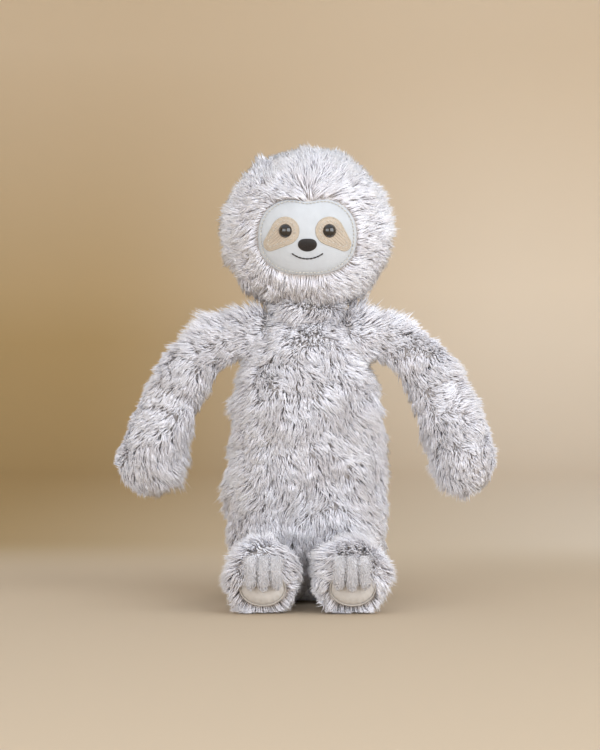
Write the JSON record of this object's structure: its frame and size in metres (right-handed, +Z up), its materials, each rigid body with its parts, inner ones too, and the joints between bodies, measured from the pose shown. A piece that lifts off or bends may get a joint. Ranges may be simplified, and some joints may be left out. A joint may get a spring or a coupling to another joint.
{
  "type": "plush toy",
  "caption": "Seated long-pile plush sloth with a smooth stitched mask face, button eyes, hanging arms and forward legs with soft claws.",
  "frame": {"origin": "centre of the flat underside of the seat, on the surface the toy sits on", "axes": "+Z up towards the head, -Y the way the face and the feet point, +X towards the toy's own left arm"},
  "size_m": [0.37, 0.2258, 0.436],
  "materials": {
    "fur": "long silky pile, pale grey with darker roots",
    "filling": "white fibre filling",
    "pellets": "cloth bag of plastic pellets",
    "face_fabric": "short smooth off-white plush",
    "patch_fabric": "flat brown felt",
    "thread": "satin embroidery thread",
    "eye_plastic": "polished black",
    "washer_plastic": "white moulded plastic",
    "pad_fabric": "short beige suede cloth",
    "claw_felt": "stuffed cream felt"
  },
  "bodies": {
    "torso": {"torso_cover": "fur", "torso_filling": "filling", "seat_pellet_bag": "pellets", "back_closing_seam": "thread"},
    "neck": {"neck_seam": "fur"},
    "head": {"head_cover": "fur", "head_filling": "filling", "face_panel": "face_fabric", "face_edge_stitch": "thread", "nose": "thread", "mouth": "thread", "eye_patch_left": "patch_fabric", "eye_patch_edge_left": "thread", "eye_left": "eye_plastic", "eye_washer_left": "washer_plastic", "eye_patch_right": "patch_fabric", "eye_patch_edge_right": "thread", "eye_right": "eye_plastic", "eye_washer_right": "washer_plastic"},
    "left_shoulder": {"shoulder_seam_left": "fur"},
    "left_arm": {"arm_cover_left": "fur", "arm_filling_left": "filling"},
    "right_shoulder": {"shoulder_seam_right": "fur"},
    "right_arm": {"arm_cover_right": "fur", "arm_filling_right": "filling"},
    "left_hip": {"hip_seam_left": "fur"},
    "left_leg": {"leg_cover_left": "fur", "leg_filling_left": "filling", "sole_pad_left": "pad_fabric", "sole_pad_edge_left": "thread", "foot_claw_left_1": "claw_felt", "foot_claw_left_2": "claw_felt", "foot_claw_left_3": "claw_felt"},
    "right_hip": {"hip_seam_right": "fur"},
    "right_leg": {"leg_cover_right": "fur", "leg_filling_right": "filling", "sole_pad_right": "pad_fabric", "sole_pad_edge_right": "thread", "foot_claw_right_1": "claw_felt", "foot_claw_right_2": "claw_felt", "foot_claw_right_3": "claw_felt"}
  },
  "joints": [
    {"name": "head_turn", "type": "hinge", "parent": "torso", "child": "neck", "pos_m": [0, 0, 0.282], "axis": [0, 0, 1], "range_deg": [-60, 60]},
    {"name": "head_nod", "type": "hinge", "parent": "neck", "child": "head", "pos_m": [0, 0, 0.282], "axis": [1, 0, 0], "range_deg": [-20, 20]},
    {"name": "left_arm_swing", "type": "hinge", "parent": "torso", "child": "left_shoulder", "pos_m": [0.055, 0.002, 0.258], "axis": [1, 0, 0], "range_deg": [-120, 45]},
    {"name": "left_arm_raise", "type": "hinge", "parent": "left_shoulder", "child": "left_arm", "pos_m": [0.055, 0.002, 0.258], "axis": [0, -1, 0], "range_deg": [-12, 48]},
    {"name": "right_arm_swing", "type": "hinge", "parent": "torso", "child": "right_shoulder", "pos_m": [-0.055, 0.002, 0.258], "axis": [1, 0, 0], "range_deg": [-120, 45]},
    {"name": "right_arm_raise", "type": "hinge", "parent": "right_shoulder", "child": "right_arm", "pos_m": [-0.055, 0.002, 0.258], "axis": [0, 1, 0], "range_deg": [-12, 48]},
    {"name": "left_leg_splay", "type": "hinge", "parent": "torso", "child": "left_hip", "pos_m": [0.036, -0.04998, 0.0255], "axis": [0, 0, 1], "range_deg": [-2, 22]},
    {"name": "left_leg_lower", "type": "hinge", "parent": "left_hip", "child": "left_leg", "pos_m": [0.036, -0.04998, 0.0255], "axis": [1, 0, 0], "range_deg": [-28, 75]},
    {"name": "right_leg_splay", "type": "hinge", "parent": "torso", "child": "right_hip", "pos_m": [-0.036, -0.04998, 0.0255], "axis": [0, 0, -1], "range_deg": [-2, 22]},
    {"name": "right_leg_lower", "type": "hinge", "parent": "right_hip", "child": "right_leg", "pos_m": [-0.036, -0.04998, 0.0255], "axis": [1, 0, 0], "range_deg": [-28, 75]}
  ]
}
